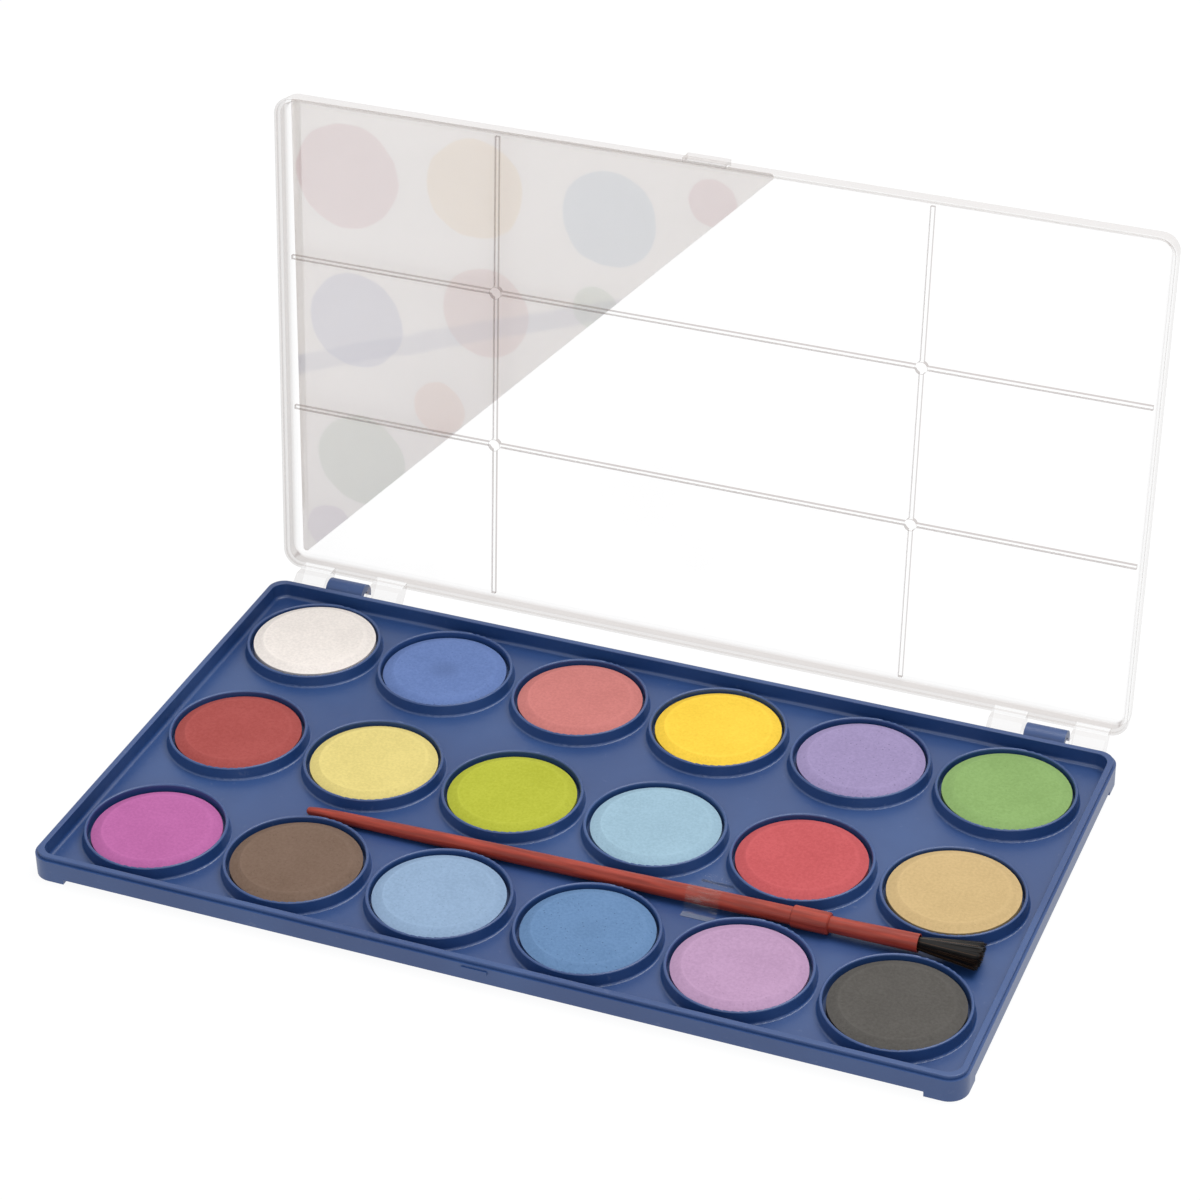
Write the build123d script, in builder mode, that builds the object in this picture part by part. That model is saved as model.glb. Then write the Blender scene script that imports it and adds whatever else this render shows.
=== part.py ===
from build123d import *
import math
import os

# A watercolour paint set: a blue tray with eighteen ring cups and paint tablets, a clear lid hinged along
# its long back side, and a round brush taped into a channel. Millimetres. X runs along the tray, Y back,
# Z up, and Z = 0 is the table. The pieces are made with the tray's middle at X = 0, Y = 0, and moved in
# one go at the end, so the origin is under the middle of the whole open set.

# Tray
tray_length = 217.2
tray_width = 123.8
tray_corner = 4.6
lip_height = 6.25
lip_length = 216.0
lip_width = 122.6
lip_corner = 4.0
lip_wall = 1.38
ledge_drop = 0.92
wall_bottom = 1.12
floor_top = 2.30
foot_reach = 8.5
floor_fillet = 0.9
edge_soft = 0.2

# Ring cups, in a grid of standard 30 mm tablets
columns = 6
rows = 3
column_pitch = 35.0
row_pitch = 40.775
cup_inner_radius = 15.6
cup_wall = 0.75
cup_drop = 1.0
cup_draft = 0.25
cup_fillet = 0.5

# Catch rib on the front wall
catch_length = 6.0
catch_height = 0.8
catch_proud = 0.3
catch_drop = 1.6

# Hinge
axis_back = 3.3
axis_drop = 2.8
pin_radius = 1.3
pin_clearance = 0.05
knuckle_radius = 3.05
knuckle_width = 9.8
knuckle_centre = 90.0
knuckle_top = 1.5
knuckle_bottom = -2.1
snap_slot = 2.2
lug_width = 8.2
lug_gap = 0.9
lug_root = 0.35
lug_rise = 4.9
lug_crown = -2.2
lug_back = 2.75
lug_shoulder = 1.1
lug_heel = -1.95
lug_toe = (-0.8, -3.05)
lug_shin = (-3.0, -0.4)
lug_ledge_gap = 0.1
lug_corner = 0.5
stop_radius = 3.39
stop_clearance = 0.02
open_angle = 95.5

# Lid
lid_seat = 0.05
lid_rise = 3.83
lid_panel = 1.2
lid_draft = 0.4
lid_edge_fillet = 0.4
flange_clearance = 0.08
rim_wall = 1.2
inner_draft = 0.5
inner_fillet = 1.0
rib_width = 1.0
rib_height = 1.0
rib_end_gap = 0.8
cross_rib_x = 52.5
long_rib_back = 42.8
long_rib_front = 82.4
boss_radius = 1.5
boss_height = 1.3
latch_width = 10.4
latch_proud = 1.4
latch_wall = 0.7
latch_reach = 2.0
latch_rise = 2.0
latch_nub_height = 0.45
latch_nub_slope = 0.25
latch_root = 0.45
latch_clearance = 0.05

# Label on the outside of the lid
label_thickness = 0.12
label_left = 106.4
label_right = 15.7
label_free_inset = 1.2
label_hinge_inset = 1.4
label_corner = 0.8
label_skew = (0.9, 0.3)

# Tablets
tablet_radius = 14.875
tablet_bevel_drop = 1.0

# Brush
brush_lift = 0.02
collar_radius = 2.5
collar_length = 8.6
collar_x = 57.4
collar_y = -20.7
tail_x = -59.1
tail_y = -21.7
tail_axis_height = 1.39
ferrule_length = 20.0
ferrule_radius = 1.85
mouth_radius = 2.07
ferrule_wall = 0.2
mouth_depth = 2.0
collar_chamfer = 0.3
handle_socket = 4.0
socket_radius = 1.5
bristle_length = 14.6
bristle_root_radius = 1.5
bristle_spread = 4.4
bristle_rise = 2.15
bristle_count = 360
bristle_root_size = 0.055
bristle_tip_size = 0.075
bristle_bed = 0.6
bristle_round = 0.07
bristle_ragged = 0.6

# Tape over the brush handle
tape_width = 7.7
tape_thickness = 0.12
tape_x = 37.2
tape_front = 3.3
tape_back = 6.6
tape_clearance = 0.08

tray_half = tray_width / 2
ledge_height = lip_height - ledge_drop
cup_top = lip_height - cup_drop
axis_y = tray_half + axis_back
axis_z = lip_height - axis_drop
rim_z = ledge_height + lid_seat
panel_top = lip_height + lid_rise
ceiling = panel_top - lid_panel
shoulder = lip_height + lid_seat
overlap = 0.3

# Cup: one ring wall, drafted outside, with a rounded top and a small fillet at the floor
with BuildPart() as cup:
    with BuildSketch(Plane.XZ):
        with BuildLine():
            top_outer = cup_inner_radius + cup_wall
            foot_outer = top_outer + cup_draft
            a = (cup_inner_radius, floor_top - overlap)
            b = (cup_inner_radius, cup_top - cup_wall / 2)
            c = (cup_inner_radius + cup_wall / 2, cup_top)
            d = (top_outer, cup_top - cup_wall / 2)
            e = (foot_outer, floor_top + cup_fillet)
            f = (foot_outer + cup_fillet, floor_top)
            g = (foot_outer + cup_fillet, floor_top - overlap)
            Line(a, b)
            ThreePointArc(b, c, d)
            Line(d, e)
            knee = cup_fillet * (1 - math.sqrt(0.5))
            ThreePointArc(e, (foot_outer + knee, floor_top + knee), f)
            Polyline(f, g, a)
        make_face()
    revolve(axis=Axis.Z)

# Knuckle: a hook with its snap slot facing back and down, on a short block from the tray's back wall
with BuildPart() as knuckle:
    with BuildSketch(Plane.YZ.offset(-knuckle_width / 2)):
        Circle(knuckle_radius)
        with BuildLine():
            Polyline(
                (-axis_back - overlap, knuckle_bottom),
                (0, knuckle_bottom),
                (0, knuckle_top),
                (-axis_back - overlap, knuckle_top),
                close=True,
            )
        make_face()
        Circle(pin_radius + pin_clearance, mode=Mode.SUBTRACT)
        with Locations(Location((0, 0, 0), (0, 0, -45))):
            Rectangle(2 * knuckle_radius, snap_slot, align=(Align.MIN, Align.CENTER), mode=Mode.SUBTRACT)
    extrude(amount=knuckle_width)

# Tray
with BuildPart() as tray:
    with BuildSketch(Plane.XY.offset(wall_bottom)):
        RectangleRounded(tray_length, tray_width, tray_corner)
    extrude(amount=ledge_height - wall_bottom)
    with BuildSketch(Plane.XY.offset(ledge_height)):
        RectangleRounded(lip_length, lip_width, lip_corner)
    extrude(amount=ledge_drop)
    with BuildSketch(Plane.XY.offset(floor_top)) as well:
        RectangleRounded(lip_length - 2 * lip_wall, lip_width - 2 * lip_wall, lip_corner - lip_wall / 2)
    extrude(amount=lip_height, mode=Mode.SUBTRACT)
    fillet(tray.edges().filter_by(lambda edge: abs(edge.center().Z - floor_top) < 0.01), floor_fillet)
    fillet(tray.edges().group_by(Axis.Z)[-1], edge_soft)
    fillet(tray.edges().filter_by(lambda edge: abs(edge.center().Z - wall_bottom) < 0.01), edge_soft)
    with BuildSketch(Plane.XY) as feet:
        RectangleRounded(tray_length, tray_width, tray_corner)
        Rectangle(tray_length - 2 * foot_reach, tray_width, mode=Mode.SUBTRACT)
        Rectangle(tray_length, tray_width - 2 * foot_reach, mode=Mode.SUBTRACT)
    extrude(amount=floor_top - overlap)
    with GridLocations(column_pitch, row_pitch, columns, rows):
        add(cup.part)
    with Locations((0, -tray_half, ledge_height - catch_drop - catch_height / 2 + ledge_drop)):
        Box(catch_length, 2 * catch_proud, catch_height)
    with Locations((-knuckle_centre, axis_y, axis_z), (knuckle_centre, axis_y, axis_z)):
        add(knuckle.part)

# Lug: carries one end of a hinge pin; its lower corner meets the tray's back wall at full opening
stop_turn = math.acos((axis_back - stop_clearance) / stop_radius)
stop_angle = math.radians(open_angle) - math.pi + stop_turn
stop_corner = (stop_radius * math.cos(stop_angle), stop_radius * math.sin(stop_angle))
lug_sole = ledge_height + lug_ledge_gap - axis_z
with BuildPart() as lug:
    with BuildSketch(Plane.YZ.offset(-lug_width / 2)):
        with BuildLine():
            Polyline(
                (-axis_back - lug_root, lug_sole),
                (-axis_back - lug_root, lug_rise),
                (lug_crown, lug_rise),
                (lug_back, lug_shoulder),
                (lug_back, lug_heel),
                stop_corner,
                lug_toe,
                lug_shin,
                (lug_shin[0], lug_sole),
                close=True,
            )
        make_face()
        fillet(vertices().filter_by(lambda v: v.Y > lug_sole / 2 and v.X > lug_shin[0] / 1.1), lug_corner)
    extrude(amount=lug_width)

# Lid, made closed on the tray and then opened about the hinge
latch_z = rim_z - latch_reach
nub_face = tray_half + catch_proud + latch_clearance
latch_face = tray_half + latch_proud
with BuildPart() as lid:
    with BuildSketch(Plane.XY.offset(rim_z)):
        RectangleRounded(tray_length, tray_width, tray_corner)
    draft_angle = math.degrees(math.atan(lid_draft / (panel_top - rim_z)))
    extrude(amount=panel_top - rim_z, taper=draft_angle)
    fillet(lid.faces().sort_by(Axis.Z)[-1].edges(), lid_edge_fillet)
    with BuildSketch(Plane.XY.offset(rim_z)):
        flange_gap = 2 * flange_clearance
        RectangleRounded(lip_length + flange_gap, lip_width + flange_gap, lip_corner + flange_clearance)
    extrude(amount=shoulder - rim_z, mode=Mode.SUBTRACT)
    with BuildSketch(Plane.XY.offset(shoulder)):
        RectangleRounded(tray_length - 2 * rim_wall, tray_width - 2 * rim_wall, tray_corner - rim_wall)
    inner_angle = math.degrees(math.atan(inner_draft / (ceiling - shoulder)))
    extrude(amount=ceiling - shoulder, taper=inner_angle, mode=Mode.SUBTRACT)
    inner_edges = lid.edges().filter_by(lambda edge: abs(edge.center().Z - ceiling) < 0.01)
    fillet(inner_edges, inner_fillet)
    rib_bottom = ceiling - rib_height
    rib_y = (tray_half - long_rib_back, tray_half - long_rib_front)
    long_rib = tray_length - 2 * (rim_wall + inner_draft + rib_end_gap)
    cross_rib = tray_width - 2 * (rim_wall + inner_draft + rib_end_gap)
    with BuildSketch(Plane.XY.offset(rib_bottom)):
        with Locations((0, rib_y[0]), (0, rib_y[1])):
            Rectangle(long_rib, rib_width)
        with Locations((-cross_rib_x, 0), (cross_rib_x, 0)):
            Rectangle(rib_width, cross_rib)
    extrude(amount=rib_height + overlap)
    with BuildSketch(Plane.XY.offset(ceiling - boss_height)):
        with Locations(*[(x, y) for x in (-cross_rib_x, cross_rib_x) for y in rib_y]):
            Circle(boss_radius)
    extrude(amount=boss_height + overlap)
    with BuildSketch(Plane.YZ.offset(-latch_width / 2)):
        with BuildLine():
            Polyline(
                (-latch_face, latch_z),
                (-nub_face, latch_z),
                (-nub_face, latch_z + latch_nub_height),
                (-latch_face + latch_wall, latch_z + latch_nub_height + latch_nub_slope),
                (-latch_face + latch_wall, rim_z),
                (-tray_half + latch_root, rim_z),
                (-tray_half + latch_root, rim_z + latch_rise),
                (-latch_face, rim_z + latch_rise),
                close=True,
            )
        make_face()
    extrude(amount=latch_width)
    lug_offset = knuckle_width / 2 + lug_gap + lug_width / 2
    lug_places = [side * knuckle_centre + end * lug_offset for side in (-1, 1) for end in (-1, 1)]
    with Locations(*[(x, axis_y, axis_z) for x in lug_places]):
        add(lug.part)
    for side in (-1, 1):
        with BuildSketch(Plane.YZ.offset(side * knuckle_centre - lug_offset)):
            with Locations((axis_y, axis_z)):
                Circle(pin_radius)
        extrude(amount=2 * lug_offset)

# Label: a thin three-cornered sheet on the outside of the lid's panel
with BuildPart() as lid_label:
    free_y = -tray_half + lid_draft + label_free_inset
    hinge_y = tray_half - label_hinge_inset
    with BuildSketch(Plane.XY.offset(panel_top)):
        with BuildLine():
            Polyline(
                (-label_left, free_y + label_skew[1]),
                (label_right, free_y),
                (-label_left + label_skew[0], hinge_y),
                close=True,
            )
        make_face()
        fillet(vertices(), label_corner)
    extrude(amount=label_thickness)

# Tablets, one per cup: name, column, row from the front, height over the floor, bevel, hollow, offset
tablet_table = [
    ("white", 0, 2, 3.6, 2.4, 0.15, 0.1, 0.2),
    ("blue", 1, 2, 2.5, 2.6, 0.35, -0.2, 0.1),
    ("coral", 2, 2, 2.9, 2.4, 0.10, 0.1, -0.1),
    ("yellow", 3, 2, 2.9, 2.2, 0.15, 0.0, 0.2),
    ("lavender", 4, 2, 2.9, 2.4, 0.10, 0.2, 0.0),
    ("green", 5, 2, 3.0, 2.8, 0.10, 0.1, 0.1),
    ("brick_red", 0, 1, 2.8, 2.4, 0.15, -0.1, 0.1),
    ("pale_yellow", 1, 1, 2.9, 2.2, 0.10, 0.1, 0.0),
    ("lime", 2, 1, 2.9, 2.4, 0.10, 0.0, -0.2),
    ("sky_blue", 3, 1, 2.9, 2.4, 0.10, 0.1, 0.1),
    ("red", 4, 1, 2.9, 2.4, 0.15, -0.1, 0.0),
    ("tan", 5, 1, 3.4, 2.4, 0.10, 0.0, 0.2),
    ("magenta", 0, 0, 2.5, 2.4, 0.20, 0.1, -0.1),
    ("brown", 1, 0, 2.8, 2.4, 0.15, 0.0, 0.1),
    ("light_blue", 2, 0, 2.9, 2.4, 0.10, -0.1, 0.0),
    ("mid_blue", 3, 0, 2.9, 2.4, 0.15, 0.1, 0.1),
    ("lilac", 4, 0, 2.9, 2.4, 0.10, 0.0, -0.1),
    ("dark_grey", 5, 0, 2.9, 2.4, 0.15, 0.1, 0.0),
]
tablets = {}
for colour, column, row, height, bevel, hollow, dx, dy in tablet_table:
    centre_x = (column - (columns - 1) / 2) * column_pitch + dx
    centre_y = (row - (rows - 1) / 2) * row_pitch + dy
    with BuildPart() as tablet:
        with BuildSketch(Plane.XZ):
            with BuildLine():
                flat = tablet_radius - bevel
                rim = height - tablet_bevel_drop
                Polyline((0, height - hollow), (0, 0), (tablet_radius, 0), (tablet_radius, rim))
                Line((tablet_radius, rim), (flat, height))
                Spline((flat, height), (flat / 2, height - 0.6 * hollow), (0, height - hollow))
            make_face()
        revolve(axis=Axis.Z)
    tablets["tablet_" + colour] = tablet.part.moved(Location((centre_x, centre_y, floor_top)))

# Brush: its own plane lies at the collar's handle end, with x towards the bristles
collar_axis = floor_top + collar_radius + brush_lift
tail_axis = floor_top + tail_axis_height
brush_start = Vector(collar_x, collar_y, collar_axis)
brush_tail = Vector(tail_x, tail_y, tail_axis)
brush_direction = (brush_start - brush_tail).normalized()
handle_length = (brush_start - brush_tail).length
brush_plane = Plane(origin=brush_start, x_dir=brush_direction, z_dir=(-brush_direction.Z, 0, brush_direction.X))
ferrule_end = collar_length + ferrule_length
bed_x = ferrule_end - mouth_depth
handle_stations = [
    (-handle_length + 15, 1.475),
    (-handle_length + 27, 1.62),
    (-60, 1.83),
    (-30, 1.93),
    (0, 2.03),
]

with BuildPart() as handle_form:
    with BuildSketch(Plane.XY):
        with BuildLine():
            tail_end = (-handle_length, 0)
            tail_side = (-handle_length + 0.9, 0.95)
            Spline(tail_end, tail_side, tangents=[(0, 1), (1, 0.12)])
            Spline(tail_side, *handle_stations, tangents=[(1, 0.12), (1, 0)])
            Polyline(handle_stations[-1], (0, socket_radius), (handle_socket, socket_radius), (handle_socket, 0))
            Line((handle_socket, 0), tail_end)
        make_face()
    revolve(axis=Axis.X)

with BuildPart() as ferrule_form:
    with BuildSketch(Plane.XY):
        with BuildLine():
            Polyline(
                (0, socket_radius),
                (0, collar_radius - collar_chamfer),
                (collar_chamfer, collar_radius),
                (collar_length - collar_chamfer, collar_radius),
                (collar_length, collar_radius - collar_chamfer),
                (collar_length, ferrule_radius),
                (ferrule_end, mouth_radius),
                (ferrule_end, mouth_radius - ferrule_wall),
                (bed_x, mouth_radius - ferrule_wall),
                (bed_x, 0),
                (handle_socket, 0),
                (handle_socket, socket_radius),
                close=True,
            )
        make_face()
    revolve(axis=Axis.X)

# Bristles: strands fan out from a bed inside the ferrule's mouth, each a slim prism with three sides
strands = []
golden = math.pi * (3 - math.sqrt(5))
for index in range(bristle_count):
    share = math.sqrt((index + 0.5) / bristle_count)
    turn = index * golden
    root_y = share * bristle_root_radius * math.cos(turn)
    root_z = share * bristle_root_radius * math.sin(turn)
    reach = bristle_length * (1 - bristle_round * share * share) - bristle_ragged * (index * 7 % 11) / 11
    fan = reach / bristle_length
    tip_y = share * bristle_spread * math.cos(turn) * fan
    tip_z = share * bristle_rise * math.sin(turn) * fan
    with BuildPart() as strand:
        with BuildSketch(Plane.YZ.offset(bed_x + bristle_bed / 2)):
            with Locations((root_y, root_z)):
                RegularPolygon(bristle_root_size, 3)
        with BuildSketch(Plane.YZ.offset(ferrule_end + reach)):
            with Locations((tip_y, tip_z)):
                RegularPolygon(bristle_tip_size, 3)
        loft(ruled=True)
    strands.append(strand.part.solid())
with BuildPart() as bristle_form:
    with BuildSketch(Plane.YZ.offset(bed_x)):
        Circle(mouth_radius - ferrule_wall)
    extrude(amount=bristle_bed)
    add(strands)

brush_place = brush_plane.location

# Tape: a clear strip that lies on the floor, climbs over the handle and lies down again
tape_share = (tape_x - tail_x) / (collar_x - tail_x)
over_y = tail_y + tape_share * (collar_y - tail_y)
over_z = tail_axis + tape_share * (collar_axis - tail_axis)
over_radius = handle_stations[-1][1] + tape_clearance
lie = floor_top
with BuildPart() as brush_tape:
    with BuildSketch(Plane.YZ.offset(tape_x - tape_width / 2)):
        inner = over_radius
        outer = over_radius + tape_thickness
        lay = lie + tape_thickness
        slope = 1.1
        with BuildLine():
            near = math.radians(25)
            ni = (over_y - inner * math.cos(near), over_z + inner * math.sin(near))
            no = (over_y - outer * math.cos(near), over_z + outer * math.sin(near))
            fi = (over_y + inner * math.cos(near), over_z + inner * math.sin(near))
            fo = (over_y + outer * math.cos(near), over_z + outer * math.sin(near))
            fi_low = (fi[0] + slope, lie)
            fo_low = (fo[0] + slope, lay)
            ni_low = (ni[0] - slope, lie)
            no_low = (no[0] - slope, lay)
            near_end = over_y - over_radius - tape_front
            far_end = over_y + over_radius + tape_back
            ThreePointArc(ni, (over_y, over_z + inner), fi)
            Polyline(fi, fi_low, (far_end, lie), (far_end, lay), fo_low, fo)
            ThreePointArc(fo, (over_y, over_z + outer), no)
            Polyline(no, no_low, (near_end, lay), (near_end, lie), ni_low, ni)
        make_face()
    extrude(amount=tape_width)

opened = Location((0, axis_y, axis_z)) * Location((0, 0, 0), (-open_angle, 0, 0)) * Location((0, -axis_y, -axis_z))
pieces = {
    "tray": tray.part,
    "lid": lid.part.moved(opened),
    "lid_label": lid_label.part.moved(opened),
    "brush_handle": handle_form.part.moved(brush_place),
    "brush_ferrule": ferrule_form.part.moved(brush_place),
    "brush_bristles": bristle_form.part.moved(brush_place),
    "brush_tape": brush_tape.part,
}
pieces.update(tablets)

# The origin goes under the middle of the whole open set
boxes = [piece.bounding_box() for piece in pieces.values()]
middle_x = (min(box.min.X for box in boxes) + max(box.max.X for box in boxes)) / 2
middle_y = (min(box.min.Y for box in boxes) + max(box.max.Y for box in boxes)) / 2
os.makedirs("parts", exist_ok=True)
for name, piece in pieces.items():
    placed = piece.moved(Location((-middle_x, -middle_y, 0)))
    placed.label = name
    export_step(placed, "parts/" + name + ".step")
    box = placed.bounding_box()
    corners = [round(value, 3) for value in (*box.min, *box.max)]
    print(name, len(placed.solids()), round(placed.volume, 3), corners)
print("moved by", -middle_x, -middle_y, "hinge at", axis_y - middle_y, axis_z)
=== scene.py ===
import math
import random

import bmesh
import bpy
from mathutils import Euler, Matrix, Vector


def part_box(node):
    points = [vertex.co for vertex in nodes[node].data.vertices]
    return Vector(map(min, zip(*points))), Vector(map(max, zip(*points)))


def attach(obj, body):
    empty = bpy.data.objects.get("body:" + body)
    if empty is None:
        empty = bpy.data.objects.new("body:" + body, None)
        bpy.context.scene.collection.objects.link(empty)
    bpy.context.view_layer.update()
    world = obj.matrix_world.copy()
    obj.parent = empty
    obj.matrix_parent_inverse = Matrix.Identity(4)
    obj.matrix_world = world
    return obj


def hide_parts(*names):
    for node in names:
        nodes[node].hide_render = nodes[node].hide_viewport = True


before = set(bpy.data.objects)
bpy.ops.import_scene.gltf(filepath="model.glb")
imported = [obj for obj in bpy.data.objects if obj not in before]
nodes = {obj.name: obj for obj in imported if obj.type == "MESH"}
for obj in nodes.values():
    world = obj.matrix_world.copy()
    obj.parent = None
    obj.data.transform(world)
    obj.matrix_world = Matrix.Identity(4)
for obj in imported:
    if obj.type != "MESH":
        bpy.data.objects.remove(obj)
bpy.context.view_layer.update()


# Tray: one moulding of satin blue polypropylene, with faint flow marks and fine scuffs on its
# floor. The clear skin of the plastic gives it soft highlights along lips and cup rims.
def plug(value, socket):
    """Links a wire to a socket, or sets the socket to a plain value."""
    if isinstance(value, Wire):
        socket.id_data.links.new(value.socket, socket)
    else:
        socket.default_value = value


def add_node(tree, kind, output=0, inputs=None, **settings):
    """Adds a node of any kind, settings first, and returns one of its outputs as a wire."""
    node = tree.nodes.new(kind)
    for key, value in settings.items():
        setattr(node, key, value)
    for key, value in (inputs or {}).items():
        plug(value, node.inputs[key])
    return Wire(node.outputs[output])


class Wire:
    """One output of a node; arithmetic on it adds Math nodes."""

    def __init__(self, socket):
        self.socket = socket

    def math(self, operation, *values):
        tree = self.socket.id_data
        return add_node(tree, "ShaderNodeMath", 0, dict(enumerate(values)), operation=operation)

    def __add__(self, other):
        return self.math("ADD", self, other)

    def __radd__(self, other):
        return self.math("ADD", other, self)

    def __sub__(self, other):
        return self.math("SUBTRACT", self, other)

    def __rsub__(self, other):
        return self.math("SUBTRACT", other, self)

    def __mul__(self, other):
        return self.math("MULTIPLY", self, other)

    def __rmul__(self, other):
        return self.math("MULTIPLY", other, self)

    def __pow__(self, other):
        return self.math("POWER", self, other)

    def step(self, low, high):
        """0 below low, 1 above high, smooth between."""
        inputs = {"Value": self, "From Min": low, "From Max": high}
        tree = self.socket.id_data
        return add_node(tree, "ShaderNodeMapRange", 0, inputs, interpolation_type="SMOOTHSTEP")

    def size(self):
        return self.math("ABSOLUTE", self)

    def least(self, other):
        return self.math("MINIMUM", self, other)

    def most(self, other):
        return self.math("MAXIMUM", self, other)


class Finish:
    """One principled material; its sockets take wires or plain values."""

    def __init__(self, name, **values):
        self.material = bpy.data.materials.new(name)
        self.material.use_nodes = True
        self.tree = self.material.node_tree
        self.shader = self.tree.nodes["Principled BSDF"]
        self.set(**values)

    def set(self, **values):
        for key, value in values.items():
            plug(value, self.shader.inputs[key.replace("_", " ")])

    def node(self, kind, output=0, inputs=None, **settings):
        return add_node(self.tree, kind, output, inputs, **settings)

    def place(self, output="Object"):
        return self.node("ShaderNodeTexCoord", output)

    def mapping(self, vector, **values):
        """Coordinates moved, turned or stretched by location, rotation and scale."""
        inputs = {key.capitalize(): value for key, value in values.items()}
        return self.node("ShaderNodeMapping", 0, {"Vector": vector, **inputs})

    def axes(self, vector):
        first = self.node("ShaderNodeSeparateXYZ", 0, {0: vector})
        return [Wire(socket) for socket in first.socket.node.outputs]

    def noise(self, scale, detail=3.0, roughness=0.5, vector=None):
        inputs = {"Vector": vector or self.place(), "Scale": scale, "Detail": detail}
        return self.node("ShaderNodeTexNoise", 0, {**inputs, "Roughness": roughness})

    def mix(self, factor, first, second):
        return self.node("ShaderNodeMix", 2, {0: factor, 6: first, 7: second}, data_type="RGBA")

    def bump(self, height, distance, strength):
        inputs = {"Height": height, "Distance": distance, "Strength": strength}
        self.set(Normal=self.node("ShaderNodeBump", 0, inputs))


def colour(red, green, blue):
    """A screen colour, 0 to 255, as the linear value that a shader takes."""
    shares = [value / 255 for value in (red, green, blue)]
    linear = [v / 12.92 if v <= 0.04045 else ((v + 0.055) / 1.055) ** 2.4 for v in shares]
    return (*linear, 1.0)


def distance(across, along):
    return (across * across + along * along) ** 0.5


def dress(name, finish):
    """Puts a finish on a CAD node."""
    for slot in nodes[name].material_slots:
        slot.material = finish.material


SCUFF_X, SCUFF_Y = 0.036, -0.0225
SCUFF_INNER, SCUFF_OUTER = 0.0012, 0.0026

tray = Finish(
    "tray_blue", IOR=1.5, Specular_IOR_Level=0.6, Coat_Weight=0.18, Coat_Roughness=0.25
)
flow = tray.noise(24, 4.0, 0.6)
grain = tray.noise(1100, 2.0, 0.5)
dust = tray.noise(420, 5.0, 0.7).step(0.62, 0.72)
plastic = tray.mix(flow.step(0.35, 0.7), colour(27, 60, 112), colour(37, 70, 122))
x, y, z = tray.axes(tray.place())
from_tape = distance((x - SCUFF_X) * 0.5, y - SCUFF_Y)
near_tape = 1.0 - from_tape.step(SCUFF_INNER, SCUFF_OUTER)
scuffs = near_tape * tray.noise(2600, 3.0, 0.7).step(0.56, 0.64)
plastic = tray.mix(scuffs * 0.5, plastic, colour(150, 156, 172))
tray.set(Base_Color=tray.mix(dust * 0.14, plastic, colour(132, 140, 160)))
tray.set(Roughness=0.36 + 0.12 * flow + 0.1 * dust)
tray.bump(grain + 2.0 * flow, 0.00003, 0.4)
dress("tray", tray)

# Tablets: pressed watercolour, matt and powdery, each with its own colour, a painted highlight on
# the bevel ring and the rim edge, and fine specks. Each is pressed into its cup. Grain and small
# pits are in the bump.
BEVEL_INNER, BEVEL_OUTER = 0.0117, 0.0131
EDGE_INNER, EDGE_OUTER = 0.0141, 0.0148
HOLLOW_INNER, HOLLOW_OUTER = 0.001, 0.0055

# Each row is the screen colour, how strongly the specks show, and how dark the middle hollow is.
paint_table = {
    "white": ((229, 221, 214), 0.1, 0.0),
    "blue": ((96, 119, 170), 0.5, 0.4),
    "coral": ((190, 115, 110), 0.15, 0.0),
    "yellow": ((235, 195, 61), 0.15, 0.0),
    "lavender": ((147, 133, 171), 0.9, 0.0),
    "green": ((129, 160, 96), 0.3, 0.0),
    "brick_red": ((156, 71, 67), 0.2, 0.0),
    "pale_yellow": ((210, 193, 119), 0.25, 0.0),
    "lime": ((168, 172, 51), 0.25, 0.0),
    "sky_blue": ((144, 173, 189), 0.25, 0.0),
    "red": ((183, 81, 84), 0.2, 0.0),
    "tan": ((191, 164, 116), 0.2, 0.0),
    "magenta": ((174, 95, 151), 0.2, 0.0),
    "brown": ((110, 89, 75), 0.6, 0.0),
    "light_blue": ((133, 157, 184), 0.45, 0.0),
    "mid_blue": ((93, 125, 163), 0.9, 0.15),
    "lilac": ((173, 139, 170), 0.35, 0.0),
    "dark_grey": ((79, 76, 72), 0.3, 0.0),
}
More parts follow.
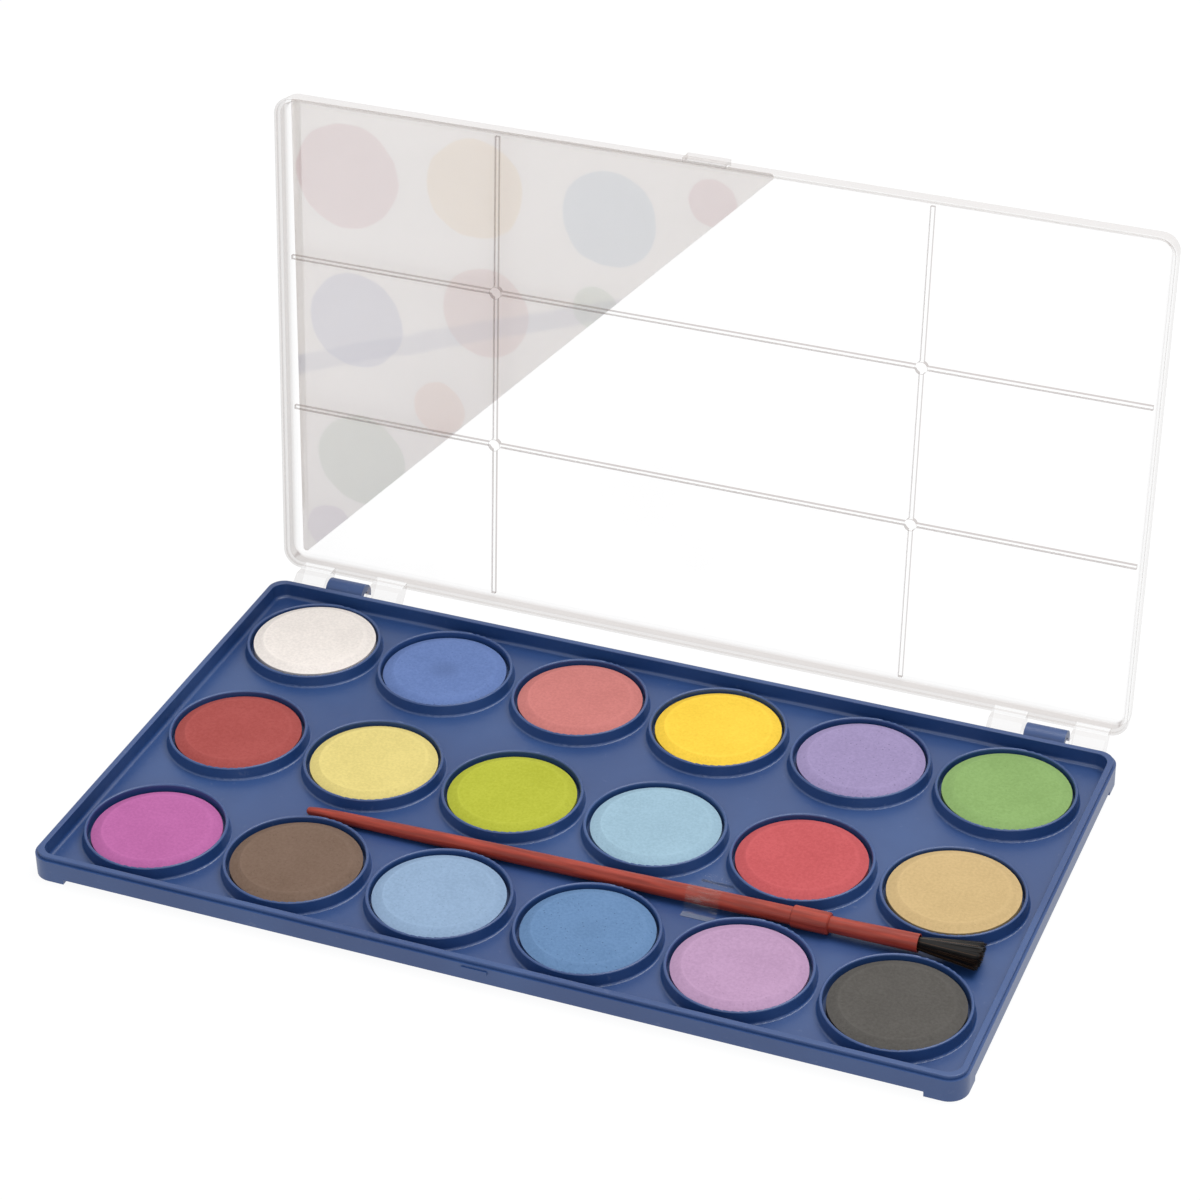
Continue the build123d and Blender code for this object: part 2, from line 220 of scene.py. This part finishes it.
for order, (name, (shade, specks, hollow)) in enumerate(paint_table.items()):
    low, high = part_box("tablet_" + name)
    middle = (low + high) / 2
    paint = Finish("paint_" + name, Roughness=0.82, IOR=1.45, Specular_IOR_Level=0.2)
    local = paint.mapping(paint.place(), location=(-middle.x, -middle.y, 0.0))
    x, y, z = paint.axes(local)
    radius = distance(x, y)
    seeded = paint.mapping(local, location=(0.0, 0.0, 0.031 * order))
    cloud = paint.noise(90, 3.0, 0.55, seeded)
    fine = paint.noise(1500, 3.0, 0.6, seeded)
    pits = paint.node("ShaderNodeTexVoronoi", 0, {"Vector": seeded, "Scale": 900.0})
    drag = paint.mapping(seeded, rotation=(0, 0, order * 1.1), scale=(1, 9, 1))
    scratch = paint.noise(170, 4.0, 0.65, drag).step(0.66, 0.74)
    base = colour(*shade)
    light = (*(min(1.0, value * 1.16 + 0.02) for value in base[:3]), 1.0)
    dark = (*(value * 0.66 for value in base[:3]), 1.0)
    mottle = (cloud * 0.35 + fine * 0.65).step(0.3, 0.7)
    body = paint.mix(mottle, paint.mix(0.16, base, dark), paint.mix(0.6, base, light))
    speck = (1.0 - pits.step(0.1, 0.24)) * fine.step(0.46, 0.54)
    body = paint.mix(speck * specks, body, dark)
    body = paint.mix(scratch * 0.3, body, light)
    # Painted highlight: a thin ring on the bevel and the rim edge are lightened towards the light
    # tone.
    bevel_highlight = radius.step(BEVEL_INNER, BEVEL_INNER + 0.0005)
    bevel_highlight = bevel_highlight * (1.0 - radius.step(BEVEL_OUTER - 0.0006, BEVEL_OUTER))
    edge = radius.step(EDGE_INNER, EDGE_OUTER)
    body = paint.mix(bevel_highlight * 0.25 + edge * 0.3, body, light)
    if hollow:
        inside = 1.0 - radius.step(HOLLOW_INNER, HOLLOW_OUTER)
        body = paint.mix(inside * hollow, body, dark)
    paint.set(Base_Color=body)
    paint.bump(cloud * 2.0 + fine * 0.35 - 0.5 * speck - 0.6 * scratch, 0.00016, 0.6)
    dress("tablet_" + name, paint)

# Lid: one clear polystyrene moulding, snapped onto the tray by its pins. The flat panel is almost
# invisible; the skirt, ribs, lugs and pins show by a painted grey-pink colour on their sides, seen
# edge on, which stands in for the shine and shade of clear plastic.
AXIS = (0.0, 0.05432645, 0.00345)
OPEN = math.radians(95.5)
PANEL = (0.0, math.sin(OPEN), math.cos(OPEN))
HALF_LENGTH = 0.1062
FREE_EDGE = -0.1249
HINGE_EDGE = -0.0055
LUG_FACE = -0.0035
SOFT = 0.0004


def shut(finish):
    """Coordinates on the lid as if it were closed, measured from the hinge axis."""
    inputs = {0: finish.place(), 1: AXIS}
    away = finish.node("ShaderNodeVectorMath", 0, inputs, operation="SUBTRACT")
    return finish.axes(finish.mapping(away, rotation=(OPEN, 0.0, 0.0)))


def across_panel(finish):
    """1 where the surface faces along the panel's normal, -1 on its other side."""
    inputs = {0: finish.place("Normal"), 1: PANEL}
    return finish.node("ShaderNodeVectorMath", "Value", inputs, operation="DOT_PRODUCT")


lid = Finish("lid_clear", IOR=1.59, Specular_IOR_Level=0.35)
x, y, z = shut(lid)
side = 1.0 - across_panel(lid).size().step(0.35, 0.95)
border = (x.size() - HALF_LENGTH).step(0.0, SOFT).most((FREE_EDGE - y).step(0.0, SOFT))
border = border.most((y - HINGE_EDGE).step(0.0, SOFT))
outside = (y - LUG_FACE).step(0.0, SOFT)
painted_grazing_reflection = lid.node("ShaderNodeLayerWeight", "Facing", {"Blend": 0.5})
haze = lid.noise(26, 3.0, 0.6).step(0.45, 0.75)
smear = lid.noise(700, 4.0, 0.7).step(0.66, 0.74)
# Painted light: the sides seen edge on take an opaque grey-pink colour, dark brown on the ribs and
# pale on the border, in place of the shine and shade of clear plastic.
edge = lid.mix(border, colour(124, 98, 90), colour(176, 164, 158))
lid.set(Base_Color=lid.mix(side, colour(200, 194, 192), edge))
lid.set(Roughness=0.05 + 0.12 * haze)
# Painted light: the sides and the border strip are made more opaque, and the facing weight adds a
# painted reflection at grazing angles. The haze and smears are real.
panel_shows = 0.01 + 0.012 * haze + 0.04 * smear + 0.05 * border * (1.0 - outside)
painted_side_light = side * (0.46 - 0.24 * border - 0.08 * outside) + 0.14 * painted_grazing_reflection**4.0
lid.set(Alpha=(panel_shows + painted_side_light).least(0.9))
dress("lid", lid)

# Label: thin paper glued to the outside of the panel, printed with round blots of paint. Its glued
# side shows pale grey through the lid, with the blots faint behind it.
label = Finish("label_paper", Roughness=0.62, IOR=1.45)
# A faint painted glow: the paper emits a little white light of its own, which lightens it.
label.set(Emission_Color=(1.0, 0.97, 0.95, 1.0), Emission_Strength=0.1)
x, y, z = shut(label)
paper = label.noise(1600, 3.0, 0.6)
printed = across_panel(label).step(0.2, 0.4)
strength = 0.09 + 0.8 * printed

# Each blot is its place on the closed lid, its radius and its screen colour.
blots = (
    (-0.092, -0.108, 0.0135, (190, 66, 92)),
    (-0.090, -0.071, 0.0125, (70, 96, 178)),
    (-0.089, -0.034, 0.0120, (92, 150, 84)),
    (-0.059, -0.110, 0.0125, (232, 190, 60)),
    (-0.056, -0.079, 0.0115, (196, 92, 70)),
    (-0.025, -0.108, 0.0120, (94, 160, 196)),
    (-0.098, -0.014, 0.0065, (150, 104, 176)),
    (-0.068, -0.052, 0.0070, (220, 140, 70)),
    (-0.028, -0.085, 0.0060, (120, 170, 110)),
    (0.000, -0.116, 0.0060, (190, 66, 92)),
)
sheet = label.mix(printed, colour(246, 243, 241), colour(240, 238, 234))
wobble = 0.0024 * (label.noise(70, 3.0, 0.6) - 0.5)
for blot_x, blot_y, size, shade in blots:
    away = distance(x - blot_x, y - blot_y)
    inside = 1.0 - (away + wobble).step(size - 0.0006, size)
    sheet = label.mix(inside * strength, sheet, colour(*shade))
from_sweep = (y + 0.094 + 0.35 * x + wobble).size()
sweep = 1.0 - from_sweep.step(0.0018, 0.0032)
sheet = label.mix(sweep * strength * 0.7, sheet, colour(60, 84, 160))
label.set(Base_Color=label.mix(0.06 * paper, sheet, colour(150, 146, 142)))
label.bump(paper, 0.00003, 0.3)
dress("lid_label", label)

# Brush handle, collar and tube: moulded red plastic with a satin skin and faint lengthwise marks.
# The handle is pushed into the collar, which is one piece with the tube.
red = Finish("brush_red", IOR=1.49, Specular_IOR_Level=0.4)
marks = red.noise(900, 3.0, 0.6, red.mapping(red.place(), scale=(0.08, 1.0, 1.0)))
red.set(Base_Color=red.mix(marks.step(0.3, 0.75), colour(124, 38, 25), colour(166, 60, 43)))
red.set(Roughness=0.34 + 0.22 * marks)
red.bump(marks, 0.0001, 0.7)
dress("brush_handle", red)
dress("brush_ferrule", red)

# Bristles: stiff dark hair, glued in the tube, cut square at the tip and fanning out from its
# mouth. Each hair is a slim bent prism, and a few browner ones run through the black.
TAIL = Vector((-0.0591, -0.03257355, 0.00369))
COLLAR = Vector((0.0574, -0.03157355, 0.00482))
COLLAR_TO_MOUTH = 0.0286
HAIRS = 900
HAIR_RADIUS = 0.00009
HAIR_LENGTH = 0.0142
HAIR_ROOT = 0.0015
JOINTS = 5
THINNING = 0.35
GOLDEN_TURN = 2.399963
MOUTH_RADIUS = 0.0012
FAN_WIDE, FAN_TALL = 0.0030, 0.0009


def new_object(name, form, finish):
    """Makes an object from a bmesh, at the origin and with one finish."""
    mesh = bpy.data.meshes.new(name)
    form.to_mesh(mesh)
    form.free()
    mesh.materials.append(finish.material)
    made = bpy.data.objects.new(name, mesh)
    bpy.context.collection.objects.link(made)
    return made


hair = Finish("bristle_black", Roughness=0.35, IOR=1.5, Specular_IOR_Level=0.35)
strand = hair.node("ShaderNodeAttribute", "Fac", attribute_name="strand")
hair.set(Base_Color=hair.mix(strand.step(0.72, 1.0), colour(9, 8, 8), colour(78, 56, 40)))
along = (COLLAR - TAIL).normalized()
upward = Vector((-along.z, 0.0, along.x)).normalized()
sideways = upward.cross(along)
mouth = COLLAR + along * COLLAR_TO_MOUTH
across_mouth = Matrix((sideways, upward, along)).transposed().to_4x4()
seed = random.Random(11)
form = bmesh.new()
shades = form.verts.layers.float.new("strand")
numbers = form.verts.layers.int.new("number")
paths = []
for index in range(HAIRS):
    share = math.sqrt((index + 0.5) / HAIRS)
    turn = index * GOLDEN_TURN
    reach = HAIR_LENGTH * (1.0 - 0.02 * share * share) - 0.0009 * seed.random()
    bend = seed.uniform(-0.0003, 0.0003)
    tone = seed.random()
    path = []
    for joint in range(JOINTS + 1):
        t = joint / JOINTS
        fan = t**0.9
        forward = reach * t - HAIR_ROOT * (1 - t)
        wide = share * math.cos(turn) * (MOUTH_RADIUS + FAN_WIDE * fan) + bend * t * t
        tall = share * math.sin(turn) * (MOUTH_RADIUS + FAN_TALL * fan)
        path.append(mouth + along * forward + sideways * wide + upward * tall)
    paths.append(path)
    lay = Matrix.Translation(path[0]) @ across_mouth @ Matrix.Rotation(turn, 4, "Z")
    ring = bmesh.ops.create_circle(
        form, cap_ends=True, segments=3, radius=HAIR_RADIUS, matrix=lay
    )
    for vert in ring["verts"]:
        vert[shades] = tone
        vert[numbers] = index
tips = list(form.faces)
for joint in range(1, JOINTS + 1):
    tips = bmesh.ops.extrude_discrete_faces(form, faces=tips)["faces"]
    thinner = (1.0 - THINNING * joint / JOINTS) / (1.0 - THINNING * (joint - 1) / JOINTS)
    for vert in {vert for tip in tips for vert in tip.verts}:
        path = paths[vert[numbers]]
        vert.co = path[joint] + (vert.co - path[joint - 1]) * thinner
form.verts.layers.int.remove(numbers)
open_edges = [edge for edge in form.edges if edge.is_boundary]
bmesh.ops.holes_fill(form, edges=open_edges, sides=3)
bmesh.ops.recalc_face_normals(form, faces=form.faces)
bristles = new_object("bristle_hair", form, hair)
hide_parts("brush_bristles")
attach(bristles, "brush")

# Tape: a clear strip stuck over the handle, nearly invisible but for its cut front end, shown by a
# painted pale glint, and a few creases.
FLAP_FRONT, FLAP_BACK = -0.0362, -0.0352

tape = Finish("tape_clear", Roughness=0.15, IOR=1.48, Specular_IOR_Level=0.6)
x, y, z = tape.axes(tape.place())
streak = tape.noise(1500, 2.0, 0.6, tape.mapping(tape.place(), scale=(0.12, 1, 1)))
flap_glint = 1.0 - y.step(FLAP_FRONT, FLAP_BACK)
creases = streak.step(0.58, 0.66)
# Painted glint: the real cut front end is given a blue-grey colour and made half opaque. This
# stands in for light caught by the lifted end.
tape.set(Base_Color=tape.mix(flap_glint, colour(214, 206, 200), colour(150, 162, 186)))
tape.set(Alpha=(0.02 + 0.1 * creases + 0.42 * flap_glint).least(0.8))
dress("brush_tape", tape)

# Stage: a white floor that stays white beside the set and is clear from below, soft studio light
# and the photo's camera.
FLOOR_DROP = 0.0002

ground = Finish("floor_white", Base_Color=(0.08, 0.08, 0.08, 1.0), Roughness=1.0)
ground.set(Specular_IOR_Level=0.0, Emission_Color=(1.0, 1.0, 1.0, 1.0), Emission_Strength=0.93)
ground.set(Alpha=1.0 - ground.node("ShaderNodeNewGeometry", "Backfacing"))
form = bmesh.new()
bmesh.ops.create_grid(form, x_segments=1, y_segments=1, size=3.0)
floor = new_object("floor", form, ground)
floor.location.z = -FLOOR_DROP

world = bpy.context.scene.world or bpy.data.worlds.new("world")
bpy.context.scene.world = world
world.use_nodes = True
sky = world.node_tree
sky.nodes.clear()
camera_ray = add_node(sky, "ShaderNodeLightPath", "Is Camera Ray")
glossy_ray = add_node(sky, "ShaderNodeLightPath", "Is Glossy Ray")
white = add_node(sky, "ShaderNodeBackground", 0, {"Color": (1.0, 1.0, 1.0, 1.0)})
studio_inputs = {"Color": (0.95, 0.97, 1.0, 1.0), "Strength": 0.5}
studio = add_node(sky, "ShaderNodeBackground", 0, studio_inputs)
seen = camera_ray.most(glossy_ray)
join = add_node(sky, "ShaderNodeMixShader", 0, {0: seen, 1: studio, 2: white})
plug(join, sky.nodes.new("ShaderNodeOutputWorld").inputs["Surface"])


def softbox(name, place, target, size, power):
    data = bpy.data.lights.new(name, "AREA")
    data.shape = "RECTANGLE"
    data.size, data.size_y = size
    data.energy = power
    lamp = bpy.data.objects.new(name, data)
    bpy.context.collection.objects.link(lamp)
    lamp.location = place
    lamp.rotation_euler = (Vector(target) - Vector(place)).to_track_quat("-Z", "Y").to_euler()


softbox("key", (0.3, 0.28, 1.3), (0, 0, 0), (1.0, 0.9), 15)
softbox("fill", (0.2, -1.3, 0.8), (0, 0, 0.06), (1.0, 0.8), 4.5)

camera = bpy.data.cameras.new("camera")
camera.sensor_width = 36.0
camera.lens = 104.488
camera.clip_start = 0.01
camera.clip_end = 20.0
eye = bpy.data.objects.new("camera", camera)
bpy.context.collection.objects.link(eye)
eye.location = (0.2482996, -0.6003398, 0.4709892)
eye.rotation_euler = Euler([math.radians(angle) for angle in (57.32014, 0.83405, 21.89598)])
bpy.context.scene.camera = eye
bpy.context.scene.view_settings.view_transform = "Standard"
